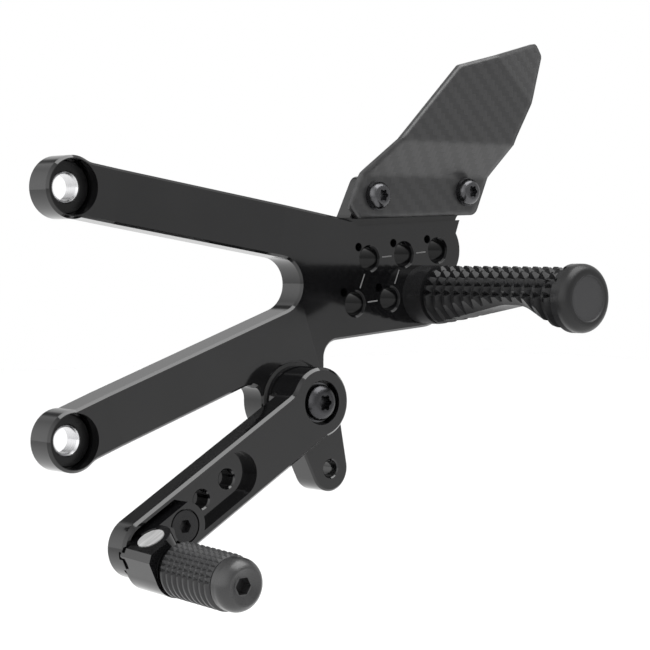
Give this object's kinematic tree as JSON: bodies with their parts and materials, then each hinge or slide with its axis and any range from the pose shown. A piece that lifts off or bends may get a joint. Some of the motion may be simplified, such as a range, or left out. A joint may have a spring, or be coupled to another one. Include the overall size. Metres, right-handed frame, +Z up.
{
  "type": "rear sets footrest",
  "caption": "Gear-side motorcycle rear set: forked hanger plate with a toothed foot peg, heel guard and a pivoting shift lever with a folding toe peg.",
  "frame": {"origin": "midway between the two frame bolts, on the plane of the faces that seat on the bike's frame", "axes": "+X rearward along the bike, +Y inboard towards the bike, +Z up; the outer face looks along -Y"},
  "size_m": [0.2139, 0.0963, 0.1847],
  "materials": {
    "black_anodised": "satin black anodised",
    "matte_anodised": "matte black anodised",
    "carbon_sheet": "matte woven carbon",
    "dark_steel": "dark oxide",
    "bright_steel": "ground bright",
    "bearing_steel": "polished",
    "dark_plastic": "moulded matte",
    "seal_rubber": "matte"
  },
  "bodies": {
    "hanger": {"hanger_plate": "black_anodised", "frame_bolt_collars": "black_anodised", "heel_guard": "carbon_sheet", "heel_guard_washers": "dark_steel", "heel_guard_screws": "dark_steel", "foot_peg": "black_anodised", "peg_end_cap": "dark_plastic", "peg_bolt": "dark_steel", "peg_washer": "dark_steel", "peg_locating_pin": "bright_steel", "inboard_bearing_inner_race": "bearing_steel", "outboard_bearing_inner_race": "bearing_steel", "pivot_sleeve": "bright_steel", "pivot_seal": "seal_rubber", "pivot_washer": "dark_steel", "pivot_screw": "dark_steel"},
    "lever": {"shift_lever": "black_anodised", "inboard_bearing_outer_race": "bearing_steel", "outboard_bearing_outer_race": "bearing_steel", "inboard_bearing_balls": "bearing_steel", "outboard_bearing_balls": "bearing_steel", "toe_carrier": "black_anodised", "toe_carrier_screw": "dark_steel", "toe_fold_pin": "bright_steel"},
    "toe": {"toe_peg_base": "black_anodised", "toe_barrel": "black_anodised", "toe_end_screw": "matte_anodised"}
  },
  "joints": [
    {"name": "lever_pivot", "type": "hinge", "parent": "hanger", "child": "lever", "pos_m": [0.0865, -0.02, -0.0309], "axis": [0, 1, 0], "range_deg": [-12, 12]},
    {"name": "toe_fold", "type": "hinge", "parent": "lever", "child": "toe", "pos_m": [0.01731, -0.034, -0.07783], "axis": [-0.5015, -0.0392, 0.8643], "range_deg": [0, 45], "stiffness_Nm_per_rad": 0.15, "springref_deg": -17.19}
  ]
}
